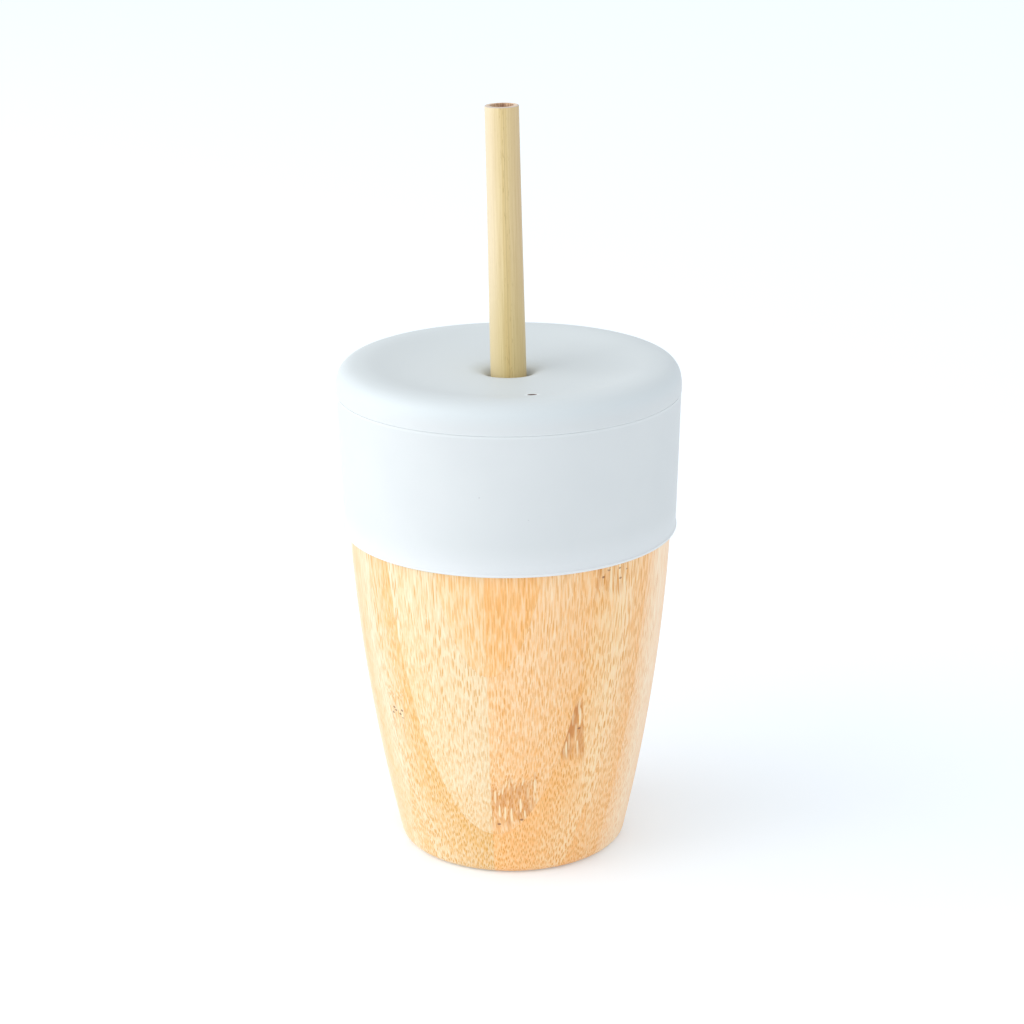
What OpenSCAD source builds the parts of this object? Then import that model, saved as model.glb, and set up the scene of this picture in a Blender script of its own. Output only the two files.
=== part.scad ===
// Bamboo cup with a silicone lid and a bamboo straw.
// Millimetres, +Z up, the origin at the middle of the foot, where the cup stands.
// The cup is turned from a block of glued bamboo strips, so each strip is a piece of its own.

/* [Cup] */
// Height from the table to the rim
cup_h = 114.4; // [100:0.1:130]
// Radius of the straight seat that the lid slides over
seat_r = 37.85; // [34:0.05:42]
// Radius of the foot, before its edge is rounded
foot_r = 26.75; // [24:0.01:30]
// How far the side bows out past a straight taper
side_bow = 1.73; // [0.5:0.05:3]
// Wall at the rim
rim_wall = 4.5; // [4:0.1:6]
// Wall at the foot
foot_wall = 5.5; // [4.5:0.1:7]
// Thickness of the floor
floor_t = 10; // [6:0.5:14]
// Radius of the hollow where the floor meets the wall
floor_round = 10; // [6:0.5:12]
// Rounding of the foot's edge
foot_round = 2.4; // [0.5:0.1:3]
// Rounding of the rim's two edges
rim_round = 1.5; // [0.8:0.1:1.9]

/* [Bamboo strips] */
// Thickness of a layer of strips, front to back
layer_t = 6.6; // [5:0.1:9]
// Width of a strip, left to right
strip_w = 21; // [18:0.5:26]
// Where the middle layer's rear glue line lies, behind the cup's middle
glue_line_y = 3.8; // [1:0.1:5]
// Where the middle joint between strips lies, from the cup's middle
glue_joint_x = -0.5; // [-4:0.1:4]

/* [Lid] */
// Depth of the skirt, from the cup's rim down to the hem
skirt_h = 36.1; // [25:0.1:45]
// Gap between the skirt and the cup's seat
lid_fit = 0.15; // [0.05:0.01:0.3]
// Wall of the skirt at the hem
hem_wall = 1; // [0.8:0.05:2]
// How far the bead round the hem stands out
hem_bead = 0.2; // [0.1:0.05:0.5]
// Wall of the skirt just under the moulding seam
seam_wall = 2; // [1.2:0.05:3]
// Depth of the groove along the seam, over the skirt's proud top edge
seam_step = 0.1; // [0.1:0.05:0.5]
// How far the seam lies below the rim
seam_drop = 3.2; // [1.5:0.1:6]
// How far the shoulder swells out past the seam's edge
shoulder_swell = 0.1; // [0.1:0.05:0.6]
// Radius of the crest round the top
crest_r = 34; // [31:0.5:36]
// Height of the crest above the cup's rim
crest_h = 3.7; // [2.8:0.1:6]
// Height of the dish above the cup's rim, in the middle
dish_h = 1.65; // [1.2:0.05:2]
// Depth of the lip that plugs the cup
lip_h = 7; // [4:0.5:12]
// Wall of that lip
lip_wall = 1.6; // [1:0.1:3]
// Gap between that lip and the inside of the cup
lip_fit = 0.25; // [0.1:0.05:0.5]
// Radius of the air hole
vent_r = 1.1; // [0.5:0.05:1.5]
// Distance of the air hole from the straw
vent_out = 26.2; // [15:0.1:27]

/* [Straw hole] */
// Gap round the straw in the lid
straw_fit = 0.15; // [0.05:0.01:0.3]
// Width of the rounded mouth round the hole
mouth_w = 5.5; // [3:0.1:7]
// Depth of that mouth
mouth_drop = 3.4; // [1.5:0.05:3.5]
// How far the collar hangs below the lid's underside
collar_h = 2.8; // [2.4:0.1:5]
// Wall of the collar
collar_wall = 3.6; // [2:0.1:6]

/* [Straw] */
// Length of the straw
straw_len = 166.7; // [140:0.1:200]
// Radius of its straight lower part
straw_r = 4.2; // [3:0.05:5]
// How much its radius shrinks to the tip
straw_taper = 0.3; // [0:0.01:0.8]
// Length of its straight lower part
straw_plain = 95; // [80:1:110]
// Radius of its bore
straw_bore_r = 2.6; // [1.5:0.05:2.8]
// Rounding of the edges at its ends
straw_round = 0.2; // [0.1:0.05:0.5]
// Lean to the left, in degrees
straw_lean = 0.9; // [0:0.1:1]

/* [Hidden] */
// Gap under the straw's lower end, which stands on the cup's floor
straw_foot_gap = 0.3;
// A strip is made where it is at least this thick
strip_least = 0.3;
// How far a cut runs past the surface that it cuts
overrun = 1;
// Height of the bead round the hem, and the rounding of its edges
bead_h = 0.8;
bead_round = 0.35;
// How far above the seam the shoulder is widest
swell_up = 0.25;
// Where the air hole lies, as an angle round the lid from +X
vent_angle = -70.4;
// The shoulder's outline, from 2 for round to more for square
shoulder_power = 3;
// How the dish rises to the crest, from 1 for evenly to more for late
dish_power = 3.5;
// How the straw's taper sets in
taper_power = 1.6;

// Steps along each curved outline, and round a turned piece
side_steps = 12;
edge_steps = 4;
fillet_steps = 8;
shoulder_steps = 10;
dish_steps = 8;
mouth_steps = 6;
taper_steps = 10;
turn_fn = 180;
hole_fn = 48;

// The strips that the block holds on each side of the middle ones
seat_z = cup_h - skirt_h;
layers_front = ceil((seat_r - layer_t + glue_line_y) / layer_t);
layers_back = ceil((seat_r - glue_line_y) / layer_t);
columns_left = ceil((seat_r + glue_joint_x) / strip_w);
columns_right = ceil((seat_r - glue_joint_x) / strip_w);

// The lid's radii and heights
throat_r = straw_r + straw_fit;
mouth_r = throat_r + mouth_w;
collar_r = throat_r + collar_wall;
lip_r = hollow_r(cup_h - lip_h) - lip_fit;
skirt_r = seat_r + lid_fit;
hem_r = skirt_r + hem_wall;
bead_r = hem_r + hem_bead;
seam_z = cup_h - seam_drop;
seam_r = skirt_r + seam_wall;
swell_r = seam_r + shoulder_swell;
swell_z = seam_z + swell_up;
crest_z = cup_h + crest_h;

straw_z = floor_t + straw_foot_gap;
straw_pivot_z = cup_h - collar_h;

bamboo_light = [0.91, 0.74, 0.49];
bamboo_warm = [0.86, 0.66, 0.41];
bamboo_tan = [0.89, 0.70, 0.44];
bamboo_tones = [bamboo_light, bamboo_warm, bamboo_tan];
silicone_grey = [0.82, 0.85, 0.87];
straw_yellow = [0.85, 0.76, 0.53];

function blend(t) = t * t * (3 - 2 * t);

function arc(at, r, from, to, steps) =
    [for (i = [0:steps]) let (a = from + (to - from) * i / steps) at + r * [cos(a), sin(a)]];

// The cup's outside radius at a height, and how far its side leans there
function side_r(z) =
    let (t = z / seat_z)
    t >= 1 ? seat_r : foot_r + (seat_r - foot_r) * t + 4 * side_bow * t * (1 - t);
function side_lean(z) =
    let (t = z / seat_z)
    t >= 1 ? 0 : atan((seat_r - foot_r + 4 * side_bow * (1 - 2 * t)) / seat_z);

// The radius of the cup's hollow at a height
function hollow_r(z) = side_r(z) - rim_wall - (foot_wall - rim_wall) * (1 - z / cup_h);

// The lid's top surface, from the crest in to the straw
function top_z(r) = cup_h + dish_h + (crest_h - dish_h) * blend(pow(min(r / crest_r, 1), dish_power));

// The straw's radius at a length from its lower end
function straw_r_at(s) =
    let (t = max(0, (s - straw_plain) / (straw_len - straw_plain)))
    straw_r - straw_taper * pow(sin(90 * t), taper_power);

module cup_section() {
    foot_lean = side_lean(0);
    foot_touch = foot_round * (1 - sin(foot_lean));
    foot_at = [side_r(foot_touch) - foot_round * cos(foot_lean), foot_round];
    rim_z = cup_h - rim_round;
    floor_lean = side_lean(floor_t + floor_round);
    floor_touch = floor_t + floor_round * (1 - sin(floor_lean));
    floor_at = [hollow_r(floor_touch) - floor_round * cos(floor_lean), floor_t + floor_round];
    polygon(concat(
        [[0, 0]],
        arc(foot_at, foot_round, -90, -foot_lean, edge_steps),
        [for (i = [1:side_steps]) let (z = foot_touch + (seat_z - foot_touch) * i / side_steps)
            [side_r(z), z]],
        arc([seat_r - rim_round, rim_z], rim_round, 0, 90, edge_steps),
        arc([hollow_r(rim_z) + rim_round, rim_z], rim_round, 90, 180, edge_steps),
        [for (i = [0:side_steps - 1]) let (z = seat_z + (floor_touch - seat_z) * i / side_steps)
            [hollow_r(z), z]],
        arc(floor_at, floor_round, -floor_lean, -90, fillet_steps),
        [[0, floor_t]]
    ));
}

// A layer's front face and a column's left face: layer 0 and columns 0 are the middle ones,
// with layers counted towards the back and columns to the right.
function layer_y(layer) = glue_line_y + (layer - 1) * layer_t;
function column_x(column) = glue_joint_x + column * strip_w;
function nearest(low, size) = max(low, -low - size, 0);
function strip_exists(layer, column) =
    norm([nearest(column_x(column), strip_w), nearest(layer_y(layer), layer_t)]) < seat_r - strip_least;

function layer_name(layer) =
    layer == 0 ? "middle" : layer < 0 ? str("front_", -layer) : str("back_", layer);
function column_name(column) = column < 0 ? str("left_", -column) : str("right_", column + 1);
function strip_name(at) = str("strip_", layer_name(at[0]), "_", column_name(at[1]));

strips = [
    for (layer = [-layers_front:layers_back], column = [-columns_left:columns_right - 1])
    if (strip_exists(layer, column)) [layer, column]
];

module strip(at) {
    tone = bamboo_tones[(at[0] + layers_front + 2 * (at[1] + columns_left)) % len(bamboo_tones)];
    color(tone) intersection() {
        rotate_extrude($fn = turn_fn) cup_section();
        translate([column_x(at[1]), layer_y(at[0]), -overrun])
            cube([strip_w, layer_t, cup_h + 2 * overrun]);
    }
}

module lid_section() {
    polygon(concat(
        // The mouth round the straw, down to the collar's lower end
        [for (i = [0:mouth_steps]) let (a = 90 * i / mouth_steps, r = mouth_r - mouth_w * sin(a))
            [r, top_z(r) - mouth_drop * (1 - cos(a))]],
        [[throat_r, cup_h - collar_h], [collar_r, cup_h - collar_h], [collar_r, cup_h]],
        // The lip that plugs the cup, and the underside that rests on the rim
        [
            [lip_r - lip_wall, cup_h],
            [lip_r - lip_wall, cup_h - lip_h],
            [lip_r, cup_h - lip_h],
            [lip_r, cup_h],
            [skirt_r, cup_h]
        ],
        // The skirt and its beaded hem
        [[skirt_r, seat_z]],
        arc([bead_r - bead_round, seat_z + bead_round], bead_round, -90, 0, edge_steps),
        arc([bead_r - bead_round, seat_z + bead_h - bead_round], bead_round, 0, 60, edge_steps),
        [[hem_r, seat_z + bead_h]],
        [[seam_r, seam_z], [seam_r - seam_step, seam_z]],
        // The shoulder, up to the crest
        [for (i = [0:shoulder_steps]) let (a = 90 * i / shoulder_steps)
            [
                crest_r + (swell_r - crest_r) * pow(cos(a), 2 / shoulder_power),
                swell_z + (crest_z - swell_z) * pow(sin(a), 2 / shoulder_power)
            ]],
        // The dish, in to the mouth
        [for (i = [1:dish_steps - 1]) let (r = crest_r + (mouth_r - crest_r) * i / dish_steps)
            [r, top_z(r)]]
    ));
}

module lid() {
    color(silicone_grey) difference() {
        rotate_extrude($fn = turn_fn) lid_section();
        rotate([0, 0, vent_angle])
            translate([vent_out, 0, cup_h - overrun])
                cylinder(r = vent_r, h = crest_h + 2 * overrun, $fn = hole_fn);
    }
}

module straw_section() {
    wall = straw_r - straw_bore_r;
    tip_r = straw_r - straw_taper;
    polygon(concat(
        arc([straw_r - straw_round, straw_round], straw_round, -90, 0, edge_steps),
        [for (i = [0:taper_steps - 1])
            let (s = straw_plain + (straw_len - straw_round - straw_plain) * i / taper_steps)
            [straw_r_at(s), s]],
        arc([tip_r - straw_round, straw_len - straw_round], straw_round, 0, 90, edge_steps),
        [[straw_r - wall, straw_len], [straw_r - wall, 0]]
    ));
}

module straw() {
    color(straw_yellow)
        translate([0, 0, straw_pivot_z]) rotate([0, -straw_lean, 0]) translate([0, 0, straw_z - straw_pivot_z])
            rotate_extrude($fn = hole_fn) straw_section();
}

for (at = strips) {
    strip(at);
}
lid();
straw();
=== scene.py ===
"""Bamboo cup with a silicone lid and a bamboo straw: the looks of every piece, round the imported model.

Lengths are in metres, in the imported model's frame, with +Z up. The cup is turned from a block of glued
bamboo strips, so one turned blank is sawn into the strips, and each strip stands for its own node.
The materials count in millimetres.
"""

import math
import random

import bmesh
import bpy
import numpy as np
from mathutils import Matrix, Vector


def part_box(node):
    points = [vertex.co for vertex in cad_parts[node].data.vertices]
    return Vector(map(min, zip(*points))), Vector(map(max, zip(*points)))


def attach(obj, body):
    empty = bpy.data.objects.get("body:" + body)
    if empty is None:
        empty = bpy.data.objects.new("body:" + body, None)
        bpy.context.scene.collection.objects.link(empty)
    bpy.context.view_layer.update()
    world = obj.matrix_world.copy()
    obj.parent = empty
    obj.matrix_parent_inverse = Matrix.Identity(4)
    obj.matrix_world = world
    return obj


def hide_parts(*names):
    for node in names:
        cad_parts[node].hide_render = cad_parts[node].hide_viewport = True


MM = 0.001

# Cup
FOOT_R = 26.75 * MM
SIDE_BOW = 1.73 * MM
RIM_WALL = 4.5 * MM
FOOT_WALL = 5.5 * MM
FLOOR_T = 10 * MM
FLOOR_ROUND = 10 * MM
FOOT_ROUND = 2.4 * MM
RIM_ROUND = 1.5 * MM

# Block of strips
LAYER_T = 6.6 * MM
STRIP_W = 21 * MM
GLUE_LINE_Y = 3.8 * MM
GLUE_JOINT_X = -0.5 * MM

# Lid, with heights counted from the cup's rim
LID_FIT = 0.15 * MM
HEM_WALL = 1 * MM
HEM_BEAD = 0.2 * MM
BEAD_H = 0.8 * MM
BEAD_ROUND = 0.35 * MM
SEAM_WALL = 2 * MM
SEAM_STEP = 0.1 * MM
SEAM_DROP = 3.2 * MM
SHOULDER_SWELL = 0.1 * MM
SWELL_UP = 0.25 * MM
CREST_R = 34 * MM
DISH_H = 1.65 * MM
SHOULDER_POWER = 3
DISH_POWER = 3.5
LIP_H = 7 * MM
LIP_WALL = 1.6 * MM
LIP_FIT = 0.25 * MM
VENT_R = 1.1 * MM
VENT_OUT = 26.2 * MM
VENT_ANGLE = math.radians(-70.4)
VENT_X = VENT_OUT * math.cos(VENT_ANGLE)
VENT_Y = VENT_OUT * math.sin(VENT_ANGLE)
DRILL_L = 10 * MM
STRAW_FIT = 0.15 * MM
MOUTH_W = 5.5 * MM
MOUTH_DROP = 3.4 * MM
COLLAR_H = 2.8 * MM
COLLAR_WALL = 3.6 * MM

# Straw
STRAW_R = 4.2 * MM
STRAW_TAPER = 0.3 * MM
STRAW_LEN = 166.7 * MM
STRAW_PLAIN = 95 * MM
STRAW_BORE_R = 2.6 * MM
STRAW_ROUND = 0.2 * MM
STRAW_FOOT_GAP = 0.3 * MM
STRAW_LEAN = math.radians(0.9)
TAPER_POWER = 1.6

# Camera, as the photograph was taken
CAMERA_AZIMUTH = math.radians(8.22)
CAMERA_ELEVATION = math.radians(18.18)
CAMERA_ROLL = math.radians(-0.53)
CAMERA_DISTANCE = 0.6019
AIM_RIGHT = 0.45 * MM
AIM_HEIGHT = 80.97 * MM
FOCAL_PIXELS = 2550.9
FRAME_PIXELS = 1024
SENSOR = 36.0

# How finely the pieces are turned and sawn
CUP_STEPS = 256
STRAW_STEPS = 72
VENT_STEPS = 40
MERGE = 1e-7
ON_PLANE = 1e-8
CREASE = math.radians(32)

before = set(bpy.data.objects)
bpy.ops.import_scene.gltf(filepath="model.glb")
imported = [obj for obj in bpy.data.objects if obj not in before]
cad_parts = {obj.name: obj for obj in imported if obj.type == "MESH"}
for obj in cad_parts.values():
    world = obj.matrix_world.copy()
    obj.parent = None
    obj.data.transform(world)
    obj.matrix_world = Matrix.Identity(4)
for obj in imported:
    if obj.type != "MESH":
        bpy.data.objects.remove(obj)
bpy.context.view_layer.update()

strip_names = sorted(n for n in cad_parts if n.startswith("strip_"))
CUP_H = max(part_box(n)[1].z for n in strip_names)
SEAT_R = max(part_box(n)[1].x for n in strip_names)
HEM_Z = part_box("lid")[0].z
CREST_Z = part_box("lid")[1].z


def blend(t):
    """A smooth step from 0 to 1."""
    return t * t * (3 - 2 * t)


def arc(centre, radius, start, end, steps):
    """Points on an arc in the plane of radius and height, by angles in degrees."""
    angles = [math.radians(start + (end - start) * i / steps) for i in range(steps + 1)]
    return [(centre[0] + radius * math.cos(a), centre[1] + radius * math.sin(a)) for a in angles]


def side_r(z):
    """The cup's outside radius at a height."""
    t = z / HEM_Z
    if t >= 1:
        return SEAT_R
    return FOOT_R + (SEAT_R - FOOT_R) * t + 4 * SIDE_BOW * t * (1 - t)


def side_lean(z):
    """How far the cup's side leans out at a height, in degrees."""
    t = z / HEM_Z
    if t >= 1:
        return 0.0
    return math.degrees(math.atan((SEAT_R - FOOT_R + 4 * SIDE_BOW * (1 - 2 * t)) / HEM_Z))


def hollow_r(z):
    """The cup's inside radius at a height."""
    return side_r(z) - RIM_WALL - (FOOT_WALL - RIM_WALL) * (1 - z / CUP_H)


def cup_outline():
    """The cup's section from the middle of its foot, round the rim, to the middle of its floor."""
    lean = side_lean(0)
    touch = FOOT_ROUND * (1 - math.sin(math.radians(lean)))
    foot = (side_r(touch) - FOOT_ROUND * math.cos(math.radians(lean)), FOOT_ROUND)
    rim_z = CUP_H - RIM_ROUND
    floor_lean = side_lean(FLOOR_T + FLOOR_ROUND)
    floor_touch = FLOOR_T + FLOOR_ROUND * (1 - math.sin(math.radians(floor_lean)))
    floor_r = hollow_r(floor_touch) - FLOOR_ROUND * math.cos(math.radians(floor_lean))
    floor = (floor_r, FLOOR_T + FLOOR_ROUND)
    side_steps, edge_steps = 40, 6
    points = [(foot[0] * i / edge_steps, 0.0) for i in range(edge_steps)]
    points += arc(foot, FOOT_ROUND, -90, -lean, edge_steps)
    points += [(side_r(z), z) for z in np.linspace(touch, HEM_Z, side_steps + 1)[1:]]
    points += [(SEAT_R, HEM_Z + (rim_z - HEM_Z) * i / edge_steps) for i in range(1, edge_steps)]
    points += arc((SEAT_R - RIM_ROUND, rim_z), RIM_ROUND, 0, 90, edge_steps)
    points += arc((hollow_r(rim_z) + RIM_ROUND, rim_z), RIM_ROUND, 90, 180, edge_steps)
    points += [(hollow_r(z), z) for z in np.linspace(HEM_Z, floor_touch, side_steps + 1)[:-1]]
    points += arc(floor, FLOOR_ROUND, -floor_lean, -90, 2 * edge_steps)
    points += [(floor[0] * (1 - i / edge_steps), FLOOR_T) for i in range(1, edge_steps + 1)]
    return points


def outline_normals(points):
    """The outward normals at the start and the end of each stretch of an outline, the solid being on the
    left of its run. Two stretches that turn by more than the crease keep their own normals."""
    run = np.diff(np.array(points), axis=0)
    across = np.stack([run[:, 1], -run[:, 0]], axis=1)
    across /= np.linalg.norm(across, axis=1)[:, None]
    starts, ends = across.copy(), across.copy()
    smooth = (across[1:] * across[:-1]).sum(1) > math.cos(CREASE)
    between = across[1:] + across[:-1]
    between /= np.linalg.norm(between, axis=1)[:, None]
    starts[1:][smooth] = between[smooth]
    ends[:-1][smooth] = between[smooth]
    return starts, ends


def spin_outline(bm, points, steps, closed=False):
    """Turns an outline about the Z axis."""
    verts = [bm.verts.new((r, 0.0, z)) for r, z in points]
    pairs = list(zip(verts, verts[1:]))
    if closed:
        pairs.append((verts[-1], verts[0]))
    edges = [bm.edges.new(pair) for pair in pairs]
    bmesh.ops.spin(
        bm, geom=verts + edges, cent=(0, 0, 0), axis=(0, 0, 1), dvec=(0, 0, 0),
        angle=math.tau, steps=steps, use_merge=True, use_duplicate=False,
    )
    bmesh.ops.remove_doubles(bm, verts=bm.verts, dist=MERGE)
    bmesh.ops.dissolve_degenerate(bm, edges=bm.edges, dist=MERGE)
    bmesh.ops.recalc_face_normals(bm, faces=bm.faces)


def saw(bm, point, normal):
    """Keeps what lies behind a plane, and closes the sawn face."""
    geom = bm.verts[:] + bm.edges[:] + bm.faces[:]
    cut = bmesh.ops.bisect_plane(
        bm, geom=geom, dist=ON_PLANE, plane_co=point, plane_no=normal, clear_outer=True
    )["geom_cut"]
    rim = [e for e in cut if isinstance(e, bmesh.types.BMEdge) and e.is_boundary]
    if rim:
        bmesh.ops.triangle_fill(bm, use_beauty=True, use_dissolve=False, edges=rim, normal=normal)


def turned_normals(mesh, points):
    """Gives the faces that were turned the outline's own normals, so that sawn pieces meet without a
    crease. A face that looks another way was sawn, and keeps its own normal."""
    outline = np.array(points)
    starts, ends = outline_normals(points)
    start, run = outline[:-1], outline[1:] - outline[:-1]
    length2 = np.maximum((run**2).sum(1), 1e-18)
    own, middles = [], []
    for face in mesh.polygons:
        middle = face.center
        for v in face.vertices:
            co = mesh.vertices[v].co
            own.append((math.hypot(co.x, co.y), co.z, co.x, co.y, *face.normal))
            middles.append((math.hypot(middle.x, middle.y), middle.z))
    own, middles = np.array(own), np.array(middles)
    found = np.empty((len(own), 3))
    batch, same_way = 4096, 0.94
    for i in range(0, len(own), batch):
        part, middle = own[i : i + batch], middles[i : i + batch]
        away = middle[:, None] - start[None]
        t = np.clip((away * run[None]).sum(2) / length2, 0, 1)
        k = ((away - t[:, :, None] * run[None]) ** 2).sum(2).argmin(1)
        t = np.clip(((part[:, :2] - start[k]) * run[k]).sum(1) / length2[k], 0, 1)[:, None]
        n = starts[k] * (1 - t) + ends[k] * t
        radius = np.maximum(part[:, 0], 1e-9)
        found[i : i + batch] = np.stack(
            [n[:, 0] * part[:, 2] / radius, n[:, 0] * part[:, 3] / radius, n[:, 1]], axis=1
        )
    found /= np.linalg.norm(found, axis=1)[:, None]
    sawn = (found * own[:, 4:]).sum(1) < same_way
    found[sawn] = own[sawn, 4:]
    mesh.normals_split_custom_set(found.tolist())


def finished(bm, name, body, node, material, outline=None):
    """Makes a piece of a bmesh, rides it on its body and lets it stand for its node."""
    mesh = bpy.data.meshes.new(name)
    bm.to_mesh(mesh)
    bm.free()
    mesh.materials.append(material)
    mesh.polygons.foreach_set("use_smooth", [True] * len(mesh.polygons))
    if outline:
        turned_normals(mesh, outline)
    piece = bpy.data.objects.new(name, mesh)
    bpy.context.scene.collection.objects.link(piece)
    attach(piece, body)
    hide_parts(node)
    return piece


def new_material(name, roughness=0.5):
    """A material with one principled shader, its node tree and the shader."""
    material = bpy.data.materials.new(name)
    material.use_nodes = True
    tree = material.node_tree
    shader = tree.nodes["Principled BSDF"]
    shader.inputs["Roughness"].default_value = roughness
    return material, tree, shader


def add(tree, kind, inputs=(), output=0, **settings):
    """Adds a node, sets it, wires or fills its inputs, and gives back one of its outputs."""
    node = tree.nodes.new(kind)
    for key, value in settings.items():
        setattr(node, key, value)
    for key, value in dict(inputs).items():
        if isinstance(value, bpy.types.NodeSocket):
            tree.links.new(value, node.inputs[key])
        else:
            node.inputs[key].default_value = value
    return node.outputs[output]


def maths(tree, operation, *values, clamp=False):
    return add(tree, "ShaderNodeMath", dict(enumerate(values)), operation=operation, use_clamp=clamp)


def times(tree, a, b, clamp=False):
    return maths(tree, "MULTIPLY", a, b, clamp=clamp)


def times_plus(tree, a, b, c):
    return maths(tree, "MULTIPLY_ADD", a, b, c)


def minus(tree, a, b):
    return maths(tree, "SUBTRACT", a, b)


def off(tree, value, middle):
    """How far a value is from a middle, on either side."""
    return maths(tree, "ABSOLUTE", minus(tree, value, middle))


def remap(tree, value, low, high, to_low=0.0, to_high=1.0):
    """A smooth step from one range to another."""
    ends = {"Value": value, "From Min": low, "From Max": high, "To Min": to_low, "To Max": to_high}
    return add(tree, "ShaderNodeMapRange", ends, interpolation_type="SMOOTHSTEP")


def mixed(tree, factor, a, b, how="MIX"):
    """Two colours mixed."""
    return add(tree, "ShaderNodeMix", {0: factor, 6: a, 7: b}, output=2, data_type="RGBA", blend_type=how)


def vector(tree, x, y, z=0.0):
    return add(tree, "ShaderNodeCombineXYZ", {0: x, 1: y, 2: z})


def length(tree, x, y):
    """How far a place is from a middle, from its two distances to it."""
    place = {0: vector(tree, x, y)}
    return add(tree, "ShaderNodeVectorMath", place, output="Value", operation="LENGTH")


def attribute(tree, name):
    return add(tree, "ShaderNodeAttribute", output="Fac", attribute_name=name)


def noise(tree, place, scale, detail=2.0, roughness=0.5, output=0):
    inputs = {"Vector": place, "Scale": scale, "Detail": detail, "Roughness": roughness}
    return add(tree, "ShaderNodeTexNoise", inputs, output=output)


def millimetres(tree, lean=0.0):
    """The object's own coordinates in millimetres: the place, and its x, y and z. They are turned about the
    Y axis for a piece that leans."""
    place = add(tree, "ShaderNodeTexCoord", output="Object")
    place = add(tree, "ShaderNodeVectorMath", {0: place, "Scale": 1 / MM}, operation="SCALE")
    if lean:
        place = add(tree, "ShaderNodeMapping", {"Vector": place, "Rotation": (0.0, lean, 0.0)})
    split = tree.nodes.new("ShaderNodeSeparateXYZ")
    tree.links.new(place, split.inputs[0])
    return place, *split.outputs


def colour_parts(tree, source):
    """The three parts of a colour, as three numbers."""
    split = tree.nodes.new("ShaderNodeSeparateColor")
    tree.links.new(source, split.inputs[0])
    return split.outputs


def raise_skin(tree, shader, height, strength, high):
    """Raises and lowers the surface by a pattern that is so many millimetres high."""
    bump = add(tree, "ShaderNodeBump", {"Strength": strength, "Distance": high * MM, "Height": height})
    tree.links.new(bump, shader.inputs["Normal"])


def colour(red, green, blue):
    return (red, green, blue, 1.0)


# Bamboo of the strips
GOLDEN_BAMBOO = colour(0.93, 0.70, 0.40)
# Paler, less golden bamboo. On the strips that the camera sees it stands mostly for a painted highlight on
# the lit left side
MILKY_AND_LIT_BAMBOO = colour(0.94, 0.725, 0.55)
WARM_BAMBOO = colour(0.90, 0.435, 0.12)
PALE_TISSUE = colour(0.97, 0.84, 0.65)
DASH_BROWN = colour(0.72, 0.30, 0.035)
KNOT_BROWN = colour(0.58, 0.21, 0.03)
KNOT_STREAK = colour(0.96, 0.79, 0.50)
KNOT_PIT = colour(0.30, 0.11, 0.03)
GLUE_BROWN = colour(0.42, 0.21, 0.07)
# Painted shade: a cut in red for the strips that the window light on the left falls on most
LIT_SIDE_RED_CUT = colour(0.88, 1.0, 1.0)

# Fibre bundles: the width and depth of a bundle's cell, and the dark spot's radius as a share of it
COARSE_BUNDLES = (0.56, 0.46, 0.26)
FINE_BUNDLES = (0.42, 0.36, 0.26)
KNOT_STREAKS = (0.95, 1.35, 0.25)

# A knot's band: where it ends and where it is whole, above and below its middle, and how far that wanders
KNOT_EDGE = (7.5, 3.5)
KNOT_RAGGED = 9.0

# A strip's tone from pale to brown, its grain from sparse to close, skin 1 where its dense side faces the
# back, how pale and less golden its hue is, how dark its dashes are, and a cut in red. On the strips that
# the camera sees, the paler hue is mostly a painted highlight, strongest on the left where the window light
# falls, and the cut in red is painted shade on the brightest left strips. On the others the paler hue is
# drawn by chance.
LOOK_NAMES = ("tone", "grain", "skin", "milk_and_lit_wash", "ink", "lit_side_red_cut")
# How dark its knot is, the knot's height and slant, how far above it its pits are, how broad it is, and the
# x that it reaches to
KNOT_NAMES = ("scar", "knot", "slant", "pits", "spread", "reach")
WHOLE_WIDTH = 50
NO_KNOT = (0, -100, 0, 0, 1, WHOLE_WIDTH)
KNOT_CHANCE = 0.25
# The strips that the camera sees, and the knots on them
STRIP_LOOKS = {
    "strip_front_6_left_1": (0.70, 0.80, 0, 0.25, 0.50, 0.4),
    "strip_front_6_right_1": (0.98, 0.95, 0, 0.0, 0.75, 0),
    "strip_front_5_left_1": (0.32, 0.60, 0.65, 0.45, 0.85, 0.7),
    "strip_front_5_right_1": (0.60, 0.75, 0.65, 0.3, 1.1, 0),
    "strip_front_4_left_2": (0.67, 0.60, 0, 0.9, 1.1, 1),
    "strip_front_4_left_1": (0.66, 0.60, 0, 0.8, 1.3, 1),
    "strip_front_4_right_1": (0.66, 0.85, 0, 0.0, 1.2, 0),
    "strip_front_4_right_2": (0.49, 0.75, 0, 0.0, 1.2, 0),
    "strip_front_3_left_2": (0.58, 0.65, 1, 0.9, 0.55, 1),
    "strip_front_3_left_1": (0.56, 0.80, 0, 0.8, 1.1, 1),
    "strip_front_3_right_1": (0.66, 0.85, 0, 0.1, 1.2, 0),
    "strip_front_3_right_2": (0.61, 0.85, 1, 0.1, 1.2, 0),
    "strip_front_2_left_2": (0.60, 0.75, 0, 1.0, 0.45, 1),
    "strip_front_2_right_2": (0.34, 0.75, 0, 0.4, 0.75, 0),
    "strip_front_1_left_2": (0.56, 0.70, 1, 1.0, 0.45, 1),
    "strip_front_1_right_2": (0.34, 0.60, 1, 0.4, 0.4, 0),
    "strip_middle_right_2": (0.34, 0.60, 0, 0.4, 0.5, 0),
    "strip_back_1_right_2": (0.25, 0.70, 0, 0.4, 0.6, 0),
}
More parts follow.
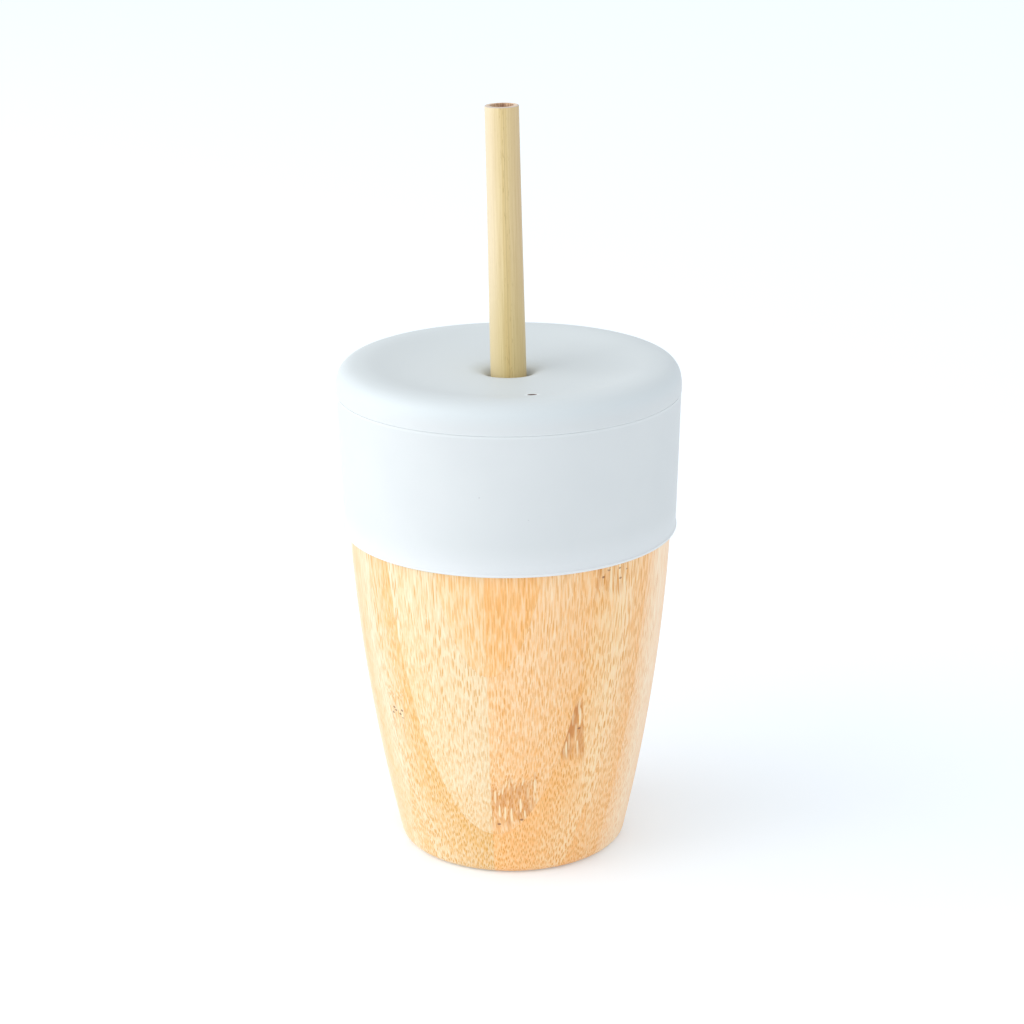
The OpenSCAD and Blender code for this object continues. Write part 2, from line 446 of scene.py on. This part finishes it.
STRIP_KNOTS = {
    "strip_front_5_right_1": (0.88, 18.9, 0.28, -6.3, 1, 9.8),
    "strip_front_4_left_2": (0.45, 38.8, 0, 1.0, 1, WHOLE_WIDTH),
    "strip_front_4_right_1": (0.93, 38.5, 0, 1.0, 1.3, WHOLE_WIDTH),
    "strip_front_4_right_2": (0.62, 76.5, 0, -1.0, 1, WHOLE_WIDTH),
}


def bundles(tree, x, y, seed, cell, keep):
    """Fibre bundles seen in section: a dark spot in most cells of a lattice across the strip, and the pale
    tissue between the cells."""
    across, through, spot = cell
    cell_x = times_plus(tree, x, 1 / across, seed)
    cell_y = times_plus(tree, y, 1 / through, seed)
    lattice = {"Vector": vector(tree, cell_x, cell_y), "Rotation": (0, 0, 0.6)}
    cells = tree.nodes.new("ShaderNodeTexVoronoi")
    cells.voronoi_dimensions = "2D"
    tree.links.new(add(tree, "ShaderNodeMapping", lattice), cells.inputs["Vector"])
    cells.inputs["Scale"].default_value = 1.0
    cells.inputs["Randomness"].default_value = 0.75
    away = cells.outputs["Distance"]
    chance = colour_parts(tree, cells.outputs["Color"])[0]
    kept = remap(tree, chance, minus(tree, keep, 0.35), maths(tree, "ADD", keep, 0.25), 1.0, 0.25)
    dark = remap(tree, away, 1.15 * spot, 0.85 * spot)
    tissue = remap(tree, away, 0.42, 0.66)
    return times(tree, dark, kept), tissue


def strip_bamboo():
    """Turned and oiled bamboo. Upright fibre bundles run through each strip, and the turned side cuts them
    into dashes, long where the side is steep and short near the foot."""
    material, tree, shader = new_material("strip bamboo")
    shader.inputs["Coat Weight"].default_value = 0.5
    shader.inputs["Coat Roughness"].default_value = 0.35
    x, y, z = millimetres(tree)[1:]
    seed = attribute(tree, "seed")
    tone, grain, skin, milk_and_lit_wash, ink, lit_side_red_cut = (attribute(tree, name) for name in LOOK_NAMES)
    scar, knot, slant, pits, spread, reach = (attribute(tree, name) for name in KNOT_NAMES)

    def grains(a, b, c, shift=0.0):
        """A place for a noise, from three pairs of a coordinate and its grains to the millimetre."""
        return vector(tree, times(tree, *a), times_plus(tree, *b, shift), times(tree, *c))

    def swung(value, swing):
        """A noise as a swing about zero."""
        return times_plus(tree, value, swing, -swing / 2)

    def phase(value, first, step):
        """Where a place lies in a row of layers or strips, counted from one of their glue lines."""
        return maths(tree, "DIVIDE", minus(tree, value, first / MM), step / MM)

    def from_line(where):
        """How far a place in a row is from the nearest glue line."""
        return off(tree, maths(tree, "FRACT", maths(tree, "ADD", where, 0.5)), 0.5)

    # Depth in the layer, from 0 at the culm's soft inside to 1 at its dense skin
    in_layers = phase(y, GLUE_LINE_Y, LAYER_T)
    depth = maths(tree, "FRACT", in_layers)
    depth = add(tree, "ShaderNodeMix", {0: skin, 2: minus(tree, 1.0, depth), 3: depth})

    # The knot's band, with a ragged edge, and the fibres that swerve in it
    waver = noise(tree, grains((x, 0.5), (y, 0.5), (z, 0.06), seed), 1.0, detail=3.0)
    height = minus(tree, z, times_plus(tree, slant, x, knot))
    ragged = times_plus(tree, waver, KNOT_RAGGED, minus(tree, height, KNOT_RAGGED / 2))
    ragged = maths(tree, "ABSOLUTE", maths(tree, "DIVIDE", ragged, spread))
    past_end = times_plus(tree, waver, 3.0, minus(tree, x, reach))
    band = times(tree, remap(tree, ragged, *KNOT_EDGE), remap(tree, past_end, 2.8, 0.8))
    opened = times(tree, band, times(tree, scar, 1.4, clamp=True))
    drift = noise(tree, grains((x, 0.08), (y, 0.08), (z, 0.02), seed), 1.0, detail=1.0, output=1)
    drift = colour_parts(tree, drift)
    sway = times_plus(tree, band, 0.8, 1.0)
    fibre_x = times_plus(tree, drift[0], sway, x)
    fibre_y = times_plus(tree, drift[1], sway, y)

    # Bundles are larger inside the culm, and small and close near its skin
    amount = times_plus(tree, grain, 0.6, 0.4)
    coarse, coarse_web = bundles(tree, fibre_x, fibre_y, seed, COARSE_BUNDLES, amount)
    fine, fine_web = bundles(tree, fibre_x, fibre_y, seed, FINE_BUNDLES, amount)
    closeness = maths(tree, "ADD", depth, times_plus(tree, grain, 0.6, -0.4))
    fineness = remap(tree, closeness, 0.2, 0.8)
    dash = add(tree, "ShaderNodeMix", {0: fineness, 2: coarse, 3: fine})
    web = add(tree, "ShaderNodeMix", {0: fineness, 2: coarse_web, 3: fine_web})
    broken = noise(tree, grains((fibre_x, 0.5), (fibre_y, 0.5), (z, 0.10)), 1.0, detail=3.0)
    dash = times(tree, dash, remap(tree, broken, 0.30, 0.60, 0.35, 1.0))
    dash = times(tree, dash, times(tree, ink, 1.1))
    dash = times(tree, dash, times_plus(tree, opened, 0.9, 1.0))

    # The ground between them, with faint fibres and slow patches
    threads = grains((fibre_x, 3.0), (fibre_y, 3.6), (z, 0.06))
    threads = noise(tree, threads, 1.0, detail=2.0, roughness=0.6)
    patches = noise(tree, grains((x, 0.12), (y, 0.30), (z, 0.03), seed), 1.0, detail=2.0)
    warmth = maths(tree, "ADD", tone, swung(patches, 0.4))
    warmth = maths(tree, "ADD", warmth, swung(depth, 0.4))
    warmth = maths(tree, "ADD", warmth, swung(threads, 1.9), clamp=True)
    # On the strips that the camera sees, the paler hue mixed in here is mostly a painted highlight from the
    # window light on the left
    ground = mixed(tree, warmth, mixed(tree, milk_and_lit_wash, GOLDEN_BAMBOO, MILKY_AND_LIT_BAMBOO), WARM_BAMBOO)
    web = times(tree, web, remap(tree, fineness, 0.2, 0.9, 0.22, 0.12))
    look = mixed(tree, web, ground, PALE_TISSUE)
    look = mixed(tree, times(tree, dash, 0.95, clamp=True), look, DASH_BROWN)

    # The knot: a darker ground broken into streaks, pale streaks in it, and a row of small dark pits
    stain = noise(tree, grains((fibre_x, 1.3), (fibre_y, 1.3), (z, 0.12), seed), 1.0, detail=2.0)
    dark = times(tree, band, times(tree, scar, scar))
    dark = times(tree, dark, remap(tree, stain, 0.32, 0.62, 0.25, 0.85))
    dark = times(tree, dark, remap(tree, depth, 0.80, 1.0, 0.9, 1.6), clamp=True)
    look = mixed(tree, dark, look, KNOT_BROWN)
    streak = bundles(tree, fibre_x, fibre_y, maths(tree, "ADD", seed, 5.0), KNOT_STREAKS, 0.8)[0]
    look = mixed(tree, times(tree, times(tree, streak, opened), 0.8), look, KNOT_STREAK)
    specks = tree.nodes.new("ShaderNodeTexVoronoi")
    tree.links.new(grains((x, 0.55), (y, 0.55), (z, 0.80)), specks.inputs["Vector"])
    specks.inputs["Scale"].default_value = 1.0
    in_row = remap(tree, off(tree, height, pits), 2.1, 1.2)
    pit = times(tree, remap(tree, specks.outputs["Distance"], 0.29, 0.19), in_row)
    chosen = colour_parts(tree, specks.outputs["Color"])[0]
    pit = times(tree, pit, remap(tree, chosen, 0.35, 0.45))
    look = mixed(tree, times(tree, pit, 0.9), look, KNOT_PIT)
    # Painted shade: less red on the brightly lit left strips
    look = mixed(tree, lit_side_red_cut, look, LIT_SIDE_RED_CUT, "MULTIPLY")

    # Glue lines, thin and hard to see
    layer_line = remap(tree, from_line(in_layers), 0.010, 0.003)
    strip_line = remap(tree, from_line(phase(x, GLUE_JOINT_X, STRIP_W)), 0.005, 0.0015)
    glue = maths(tree, "MAXIMUM", layer_line, strip_line)
    look = mixed(tree, times(tree, glue, 0.06), look, GLUE_BROWN)
    tree.links.new(look, shader.inputs["Base Color"])

    tree.links.new(times_plus(tree, dash, 0.10, 0.44), shader.inputs["Roughness"])
    raise_skin(tree, shader, times_plus(tree, threads, 0.5, times(tree, dash, -0.6)), 0.25, 0.05)
    return material


# Silicone of the lid
SILICONE = colour(0.636, 0.651, 0.647)
PALER_SILICONE = colour(0.652, 0.666, 0.661)
# Painted light: the top's cooler tint stands for the cooler light that falls on it from above
SKYLIT_TOP_SILICONE = colour(0.632, 0.668, 0.672)
# Painted light: paler silicone towards the hem, for the light from the floor below
FLOOR_LIT_HEM_SILICONE = colour(0.74, 0.75, 0.755)
# Painted highlight for the thin lines at the seam, in its groove and at the hem
EDGE_HIGHLIGHT_SILICONE = colour(0.80, 0.83, 0.83)
SILICONE_FLECK = colour(0.25, 0.25, 0.26)
# Painted shade for inside the mouth round the straw
MOUTH_SHADE_SILICONE = colour(0.26, 0.28, 0.27)
# Painted highlight of a raised lip round the air hole, which is not modelled
VENT_LIP_HIGHLIGHT = colour(0.78, 0.82, 0.82)
# Painted shade for inside the air hole, dark brown
VENT_SHADE = colour(0.27, 0.19, 0.16)


def grey_silicone():
    """Matt moulded silicone, very faintly mottled. Painted light on it: a cooler top, paler towards the hem
    where light from the floor falls, painted highlights along the seam, at the hem and round the air hole,
    and painted shade inside the mouth and the air hole."""
    material, tree, shader = new_material("grey silicone", 0.55)
    place, x, y, z = millimetres(tree)
    hem, rim, seat = HEM_Z / MM, CUP_H / MM, SEAT_R / MM
    seam = rim - SEAM_DROP / MM
    throat, vent_r = (STRAW_R + STRAW_FIT) / MM, VENT_R / MM

    mottle = noise(tree, place, 0.06, detail=3.0)
    base = mixed(tree, remap(tree, mottle, 0.3, 0.7), SILICONE, PALER_SILICONE)
    # Painted light: the upward-facing top is tinted cooler, as the light from above falls on it
    on_top = remap(tree, z, rim - 2.0, rim + 2.0)
    base = mixed(tree, on_top, base, SKYLIT_TOP_SILICONE)
    fleck = add(tree, "ShaderNodeTexVoronoi", {"Vector": place, "Scale": 0.11})
    base = mixed(tree, remap(tree, fleck, 0.026, 0.016, 0.0, 0.28), base, SILICONE_FLECK)

    # Painted light from the floor, growing towards the hem, and thin painted highlights along the seam, in
    # its groove and at the hem, on the outside only
    radius = length(tree, x, y)
    outside = remap(tree, radius, seat + 0.3, seat + 0.6)
    # Painted light from the floor, paler towards the hem
    floor_light = remap(tree, z, hem + 8.0, hem, 0.0, 0.5)
    base = mixed(tree, times(tree, floor_light, outside), base, FLOOR_LIT_HEM_SILICONE)
    # Painted highlights: a pale line under the seam, a paler groove against its shading, and a pale hem
    # edge
    under_seam = remap(tree, off(tree, z, seam - 0.25), 0.45, 0.2, 0.0, 0.2)
    in_groove = remap(tree, off(tree, z, seam + 0.15), 0.25, 0.1, 0.0, 0.35)
    at_hem = remap(tree, z, hem + 0.7, hem + 0.3, 0.0, 0.35)
    edges = maths(tree, "MAXIMUM", maths(tree, "MAXIMUM", under_seam, in_groove), at_hem)
    base = mixed(tree, times(tree, edges, outside), base, EDGE_HIGHLIGHT_SILICONE)

    # Painted shade inside the mouth, darker towards the straw
    painted_mouth_shade = times(tree, remap(tree, radius, throat + 2.6, throat, 0.0, 0.75), on_top)
    base = mixed(tree, painted_mouth_shade, base, MOUTH_SHADE_SILICONE)
    from_vent = length(tree, minus(tree, x, VENT_X / MM), minus(tree, y, VENT_Y / MM))
    # Painted highlight of a raised lip round the air hole, which is not modelled
    lip_highlight = remap(tree, from_vent, 2.0 * vent_r, 1.2 * vent_r, 0.0, 0.75)
    base = mixed(tree, lip_highlight, base, VENT_LIP_HIGHLIGHT)
    # Painted shade inside the air hole
    base = mixed(tree, remap(tree, from_vent, 1.04 * vent_r, 1.01 * vent_r), base, VENT_SHADE)
    tree.links.new(base, shader.inputs["Base Color"])
    raise_skin(tree, shader, noise(tree, place, 1.6, detail=4.0, roughness=0.6), 0.12, 0.04)
    return material


# Bamboo of the straw
STRAW_FIBRE = colour(0.66, 0.48, 0.22)
STRAW_GROUND = colour(0.83, 0.67, 0.37)
STRAW_BROAD = colour(0.74, 0.56, 0.28)
# Painted shade for the straw's right side, and a painted highlight for its lit left side
STRAW_SHADED_SIDE = colour(0.55, 0.37, 0.20)
STRAW_LIT_SIDE = colour(0.73, 0.61, 0.425)
STRAW_GREEN = colour(0.62, 0.50, 0.20)
STRAW_GOLD = colour(0.66, 0.46, 0.15)
STRAW_LINE = colour(0.42, 0.28, 0.10)
STRAW_FLECK = colour(0.42, 0.28, 0.09)
SAWN_BROWN = colour(0.66, 0.46, 0.30)
SAWN_PALE = colour(0.86, 0.68, 0.50)
SAWN_RIM = colour(0.50, 0.48, 0.50)
BORE_DARK = colour(0.30, 0.14, 0.07)
BORE_PALE = colour(0.66, 0.42, 0.25)
STRAW_DEEPER = colour(0.948, 0.94, 0.925)


def straw_bamboo():
    """A small bamboo culm, scraped and polished: fine lengthwise fibres, greener towards its foot, with a
    pale sawn end and a browner bore. Painted light across it: a creamier, less golden left side where the
    light falls, and painted shade, darker and rosier, on its right side."""
    material, tree, shader = new_material("straw bamboo", 0.42)
    x, y, z = millimetres(tree, STRAW_LEAN)[1:]
    x = minus(tree, x, (CUP_H - COLLAR_H) * math.sin(STRAW_LEAN) / MM)

    def stretched(across, along):
        return vector(tree, times(tree, x, across), times(tree, y, across), times(tree, z, along))

    threads = noise(tree, stretched(5.5, 0.03), 1.0, detail=4.0, roughness=0.65)
    broad = noise(tree, stretched(0.45, 0.02), 1.0, detail=2.0)
    base = mixed(tree, remap(tree, threads, 0.30, 0.70), STRAW_FIBRE, STRAW_GROUND)
    base = mixed(tree, remap(tree, broad, 0.35, 0.7, 0.0, 0.4), base, STRAW_BROAD)
    # Painted shade on the straw's right side, and a creamier painted highlight on its lit left side
    base = mixed(tree, remap(tree, x, 0.5, 4.5, 0.0, 0.45), base, STRAW_SHADED_SIDE)
    base = mixed(tree, remap(tree, x, 0.3, -3.2, 0.0, 0.8), base, STRAW_LIT_SIDE)
    base = mixed(tree, remap(tree, z, 150.0, 116.0, 0.0, 0.45), base, STRAW_GREEN)

    # Golden fibres down the front, one darker line among them, and short dark flecks
    wander = noise(tree, vector(tree, 0.0, 0.0, times(tree, z, 0.05)), 1.0)
    from_line = off(tree, x, times_plus(tree, wander, 0.5, 0.6))
    base = mixed(tree, remap(tree, from_line, 1.1, 0.4, 0.0, 0.30), base, STRAW_GOLD)
    base = mixed(tree, remap(tree, from_line, 0.16, 0.05, 0.0, 0.30), base, STRAW_LINE)
    flecks = noise(tree, stretched(4.0, 0.45), 1.0, detail=2.0)
    fleck = times(tree, remap(tree, flecks, 0.60, 0.68), remap(tree, from_line, 1.5, 0.5, 0.1, 0.40))
    base = mixed(tree, fleck, base, STRAW_FLECK)

    # The sawn end, with a greyer rim, and the stained bore
    end = (FLOOR_T + STRAW_FOOT_GAP + STRAW_LEN) / MM
    bore, tip = STRAW_BORE_R / MM, (STRAW_R - STRAW_TAPER) / MM
    radius = length(tree, x, y)
    sawn = mixed(tree, remap(tree, threads, 0.35, 0.65), SAWN_BROWN, SAWN_PALE)
    sawn = mixed(tree, remap(tree, radius, tip - 0.35, tip - 0.1), sawn, SAWN_RIM)
    base = mixed(tree, remap(tree, z, end - 0.14, end - 0.04), base, sawn)
    stain = mixed(tree, remap(tree, flecks, 0.35, 0.65), BORE_DARK, BORE_PALE)
    base = mixed(tree, remap(tree, radius, bore + 0.25, bore + 0.1), base, stain)
    base = mixed(tree, 1.0, base, STRAW_DEEPER, "MULTIPLY")
    tree.links.new(base, shader.inputs["Base Color"])
    raise_skin(tree, shader, threads, 0.35, 0.06)
    return material


def strip_place(name):
    """A strip's layer and column, from its name. Layers count from the middle one to the back, and columns
    from the first on the right of the middle joint, which is 0."""
    words = name.split("_")[1:]
    layer = 0 if words[0] == "middle" else int(words[1]) * (-1 if words[0] == "front" else 1)
    column = int(words[-1]) - 1 if words[-2] == "right" else -int(words[-1])
    return layer, column


def strip_look(name):
    """A strip's looks: as the photograph shows them where it is seen there, and by chance elsewhere."""
    layer, column = strip_place(name)
    draw = random.Random(100 * layer + column)
    seed = draw.uniform(0, 50)
    look = (
        draw.uniform(0.3, 0.68),
        draw.uniform(0.5, 1.0),
        draw.choice((0, 1)),
        draw.uniform(0.1, 0.7),
        draw.uniform(0.9, 1.2),
        0,
    )
    knot = (
        draw.uniform(0.3, 0.6),
        draw.uniform(15, 100) if draw.random() < KNOT_CHANCE else NO_KNOT[1],
        draw.uniform(-0.3, 0.3),
        draw.uniform(-6, 6),
        1,
        WHOLE_WIDTH,
    )
    if name in STRIP_LOOKS:
        look, knot = STRIP_LOOKS[name], STRIP_KNOTS.get(name, NO_KNOT)
    return dict(zip(("seed", *LOOK_NAMES, *KNOT_NAMES), (seed, *look, *knot)))


def make_strips():
    """Turns the blank, saws it into layers and each layer into strips, and gives every strip its looks."""
    outline = cup_outline()
    blank = bmesh.new()
    spin_outline(blank, outline, CUP_STEPS)
    material = strip_bamboo()
    layers = {}
    for name in strip_names:
        layers.setdefault(strip_place(name)[0], []).append(name)
    for layer, names in layers.items():
        slab = blank.copy()
        front = GLUE_LINE_Y + (layer - 1) * LAYER_T
        saw(slab, (0, front, 0), (0, -1, 0))
        saw(slab, (0, front + LAYER_T, 0), (0, 1, 0))
        for name in names:
            column = strip_place(name)[1]
            left = GLUE_JOINT_X + column * STRIP_W
            strip = slab.copy()
            saw(strip, (left, 0, 0), (-1, 0, 0))
            saw(strip, (left + STRIP_W, 0, 0), (1, 0, 0))
            piece = finished(strip, "turned_" + name, "cup", name, material, outline)
            for key, value in strip_look(name).items():
                written = piece.data.attributes.new(key, "FLOAT", "POINT")
                written.data.foreach_set("value", [value] * len(piece.data.vertices))
        slab.free()
    blank.free()


def lid_outline():
    """The lid's section, from the mouth round the straw, down, out and back over the top."""
    throat_r = STRAW_R + STRAW_FIT
    mouth_r = throat_r + MOUTH_W
    collar_r = throat_r + COLLAR_WALL
    lip_r = hollow_r(CUP_H - LIP_H) - LIP_FIT
    skirt_r = SEAT_R + LID_FIT
    hem_r = skirt_r + HEM_WALL
    bead_r = hem_r + HEM_BEAD
    seam_z = CUP_H - SEAM_DROP
    seam_r = skirt_r + SEAM_WALL
    swell_r = seam_r + SHOULDER_SWELL
    swell_z = seam_z + SWELL_UP

    def top_z(r):
        rise = blend(min(r / CREST_R, 1.0) ** DISH_POWER)
        return CUP_H + DISH_H + (CREST_Z - CUP_H - DISH_H) * rise

    points = []
    mouth_steps, skirt_steps, shoulder_steps, dish_steps, edge_steps = 14, 12, 28, 40, 6
    for i in range(mouth_steps + 1):
        a = math.pi / 2 * i / mouth_steps
        r = mouth_r - MOUTH_W * math.sin(a)
        points.append((r, top_z(r) - MOUTH_DROP * (1 - math.cos(a))))
    points += [(throat_r, CUP_H - COLLAR_H), (collar_r, CUP_H - COLLAR_H), (collar_r, CUP_H)]
    points += [(lip_r - LIP_WALL, CUP_H), (lip_r - LIP_WALL, CUP_H - LIP_H)]
    points += [(lip_r, CUP_H - LIP_H), (lip_r, CUP_H), (skirt_r, CUP_H), (skirt_r, HEM_Z)]
    points += arc((bead_r - BEAD_ROUND, HEM_Z + BEAD_ROUND), BEAD_ROUND, -90, 0, edge_steps)
    points += arc((bead_r - BEAD_ROUND, HEM_Z + BEAD_H - BEAD_ROUND), BEAD_ROUND, 0, 60, edge_steps)
    skirt_h = seam_z - HEM_Z - BEAD_H
    for t in np.linspace(0, 1, skirt_steps + 1):
        points.append((hem_r + (seam_r - hem_r) * t, HEM_Z + BEAD_H + skirt_h * t))
    points += [(seam_r - SEAM_STEP, seam_z)]
    for i in range(shoulder_steps + 1):
        a = math.pi / 2 * i / shoulder_steps
        points.append((
            CREST_R + (swell_r - CREST_R) * math.cos(a) ** (2 / SHOULDER_POWER),
            swell_z + (CREST_Z - swell_z) * math.sin(a) ** (2 / SHOULDER_POWER),
        ))
    for i in range(1, dish_steps):
        r = CREST_R + (mouth_r - CREST_R) * i / dish_steps
        points.append((r, top_z(r)))
    return points


def make_lid():
    """Turns the lid and drills its air hole."""
    outline = lid_outline()
    bm = bmesh.new()
    spin_outline(bm, outline, CUP_STEPS, closed=True)
    lid = bpy.data.objects.new("lid_blank", bpy.data.meshes.new("lid_blank"))
    bm.to_mesh(lid.data)
    bm.free()
    drill = bmesh.new()
    bmesh.ops.create_cone(
        drill, cap_ends=True, segments=VENT_STEPS, radius1=VENT_R, radius2=VENT_R, depth=DRILL_L,
        matrix=Matrix.Translation((VENT_X, VENT_Y, CUP_H + DISH_H)),
    )
    cutter = bpy.data.objects.new("air_hole", bpy.data.meshes.new("air_hole"))
    drill.to_mesh(cutter.data)
    drill.free()
    for tool in (lid, cutter):
        bpy.context.scene.collection.objects.link(tool)
    hole = lid.modifiers.new("air_hole", "BOOLEAN")
    hole.object = cutter
    hole.operation = "DIFFERENCE"
    hole.solver = "EXACT"
    cut = bpy.data.meshes.new_from_object(lid.evaluated_get(bpy.context.evaluated_depsgraph_get()))
    bm = bmesh.new()
    bm.from_mesh(cut)
    for tool in (lid, cutter):
        bpy.data.objects.remove(tool)
    finished(bm, "moulded_lid", "lid", "lid", grey_silicone(), outline + outline[:1])


def straw_outline():
    """The straw's section, standing on its foot: up the outside, over the tip and down the bore."""
    edge_steps, side_steps, bore_steps = 5, 89, 39

    def radius(s):
        t = max(0.0, (s - STRAW_PLAIN) / (STRAW_LEN - STRAW_PLAIN))
        return STRAW_R - STRAW_TAPER * math.sin(math.pi / 2 * t) ** TAPER_POWER

    tip = STRAW_R - STRAW_TAPER - STRAW_ROUND
    side = np.linspace(STRAW_ROUND, STRAW_LEN - STRAW_ROUND, side_steps + 1)[1:-1]
    points = arc((STRAW_R - STRAW_ROUND, STRAW_ROUND), STRAW_ROUND, -90, 0, edge_steps)
    points += [(radius(s), s) for s in side]
    points += arc((tip, STRAW_LEN - STRAW_ROUND), STRAW_ROUND, 0, 90, edge_steps)
    points += [(STRAW_BORE_R, STRAW_LEN - z) for z in np.linspace(0, STRAW_LEN, bore_steps + 1)]
    return points


def make_straw():
    """Turns the straw, and leans it about the collar of the lid that holds it."""
    bm = bmesh.new()
    spin_outline(bm, straw_outline(), STRAW_STEPS, closed=True)
    pivot = CUP_H - COLLAR_H
    foot = FLOOR_T + STRAW_FOOT_GAP
    lean = (
        Matrix.Translation((0, 0, pivot))
        @ Matrix.Rotation(-STRAW_LEAN, 4, "Y")
        @ Matrix.Translation((0, 0, foot - pivot))
    )
    bmesh.ops.transform(bm, matrix=lean, verts=bm.verts)
    finished(bm, "culm_straw", "straw", "straw", straw_bamboo())


def make_camera():
    """The photograph's camera: a long lens, a little above the lid and turned a little to the right."""
    c, s = math.cos(CAMERA_AZIMUTH), math.sin(CAMERA_AZIMUTH)
    level, rise = math.cos(CAMERA_ELEVATION), math.sin(CAMERA_ELEVATION)
    right = Vector((c, s, 0))
    back = Vector((s * level, -c * level, rise))
    up = back.cross(right)
    rolled_right = right * math.cos(CAMERA_ROLL) + up * math.sin(CAMERA_ROLL)
    rolled_up = up * math.cos(CAMERA_ROLL) - right * math.sin(CAMERA_ROLL)
    place = right * AIM_RIGHT + Vector((0, 0, AIM_HEIGHT)) + back * CAMERA_DISTANCE
    data = bpy.data.cameras.new("camera")
    data.sensor_width = SENSOR
    data.lens = FOCAL_PIXELS / FRAME_PIXELS * SENSOR
    camera = bpy.data.objects.new("camera", data)
    camera.matrix_world = Matrix.Translation(place) @ Matrix(
        (rolled_right, rolled_up, back)
    ).transposed().to_4x4()
    bpy.context.scene.collection.objects.link(camera)
    bpy.context.scene.camera = camera


# Studio: the room is brighter in front of the cup than above and behind it, and the lamps are given by
# place, size across and power
ROOM = colour(0.955, 1.0, 1.05)
ROOM_SLOPE = (0.0, -0.11, -0.12)
SWEEP = colour(0.86, 0.86, 0.86)
SWEEP_GLOW = colour(0.120, 0.164, 0.200)
SWEEP_SIZE = 6
LAMP_AIM = Vector((0, 0, 0.08))
LAMPS = {
    "window": ((-1.58, -0.4, 0.55), 1.8, 16.5),
    "key": ((-0.9, -0.9, 1.4), 0.9, 3),
}


def make_studio():
    """A white sweep in a bright room, with soft light that is strongest from the left."""
    scene = bpy.context.scene
    scene.view_settings.view_transform = "Standard"
    world = bpy.data.worlds.new("studio")
    world.use_nodes = True
    tree = world.node_tree
    background = tree.nodes["Background"]
    background.inputs["Color"].default_value = ROOM
    slope = {0: add(tree, "ShaderNodeTexCoord", output="Generated"), 1: ROOM_SLOPE}
    slope = add(tree, "ShaderNodeVectorMath", slope, output="Value", operation="DOT_PRODUCT")
    tree.links.new(maths(tree, "ADD", slope, 1.0), background.inputs["Strength"])
    scene.world = world

    bm = bmesh.new()
    bmesh.ops.create_grid(bm, x_segments=1, y_segments=1, size=SWEEP_SIZE)
    mesh = bpy.data.meshes.new("floor")
    bm.to_mesh(mesh)
    bm.free()
    floor = bpy.data.objects.new("floor", mesh)
    scene.collection.objects.link(floor)
    material, tree, shader = new_material("white sweep", 0.9)
    shader.inputs["Base Color"].default_value = SWEEP
    shader.inputs["Emission Color"].default_value = SWEEP_GLOW
    shader.inputs["Emission Strength"].default_value = 1.0
    mesh.materials.append(material)

    for name, (place, size, power) in LAMPS.items():
        data = bpy.data.lights.new(name, "AREA")
        data.shape = "DISK"
        data.size = size
        data.energy = power
        light = bpy.data.objects.new(name, data)
        light.location = place
        light.rotation_mode = "QUATERNION"
        light.rotation_quaternion = (Vector(place) - LAMP_AIM).to_track_quat("Z", "Y")
        scene.collection.objects.link(light)


make_strips()
make_lid()
make_straw()
make_camera()
make_studio()
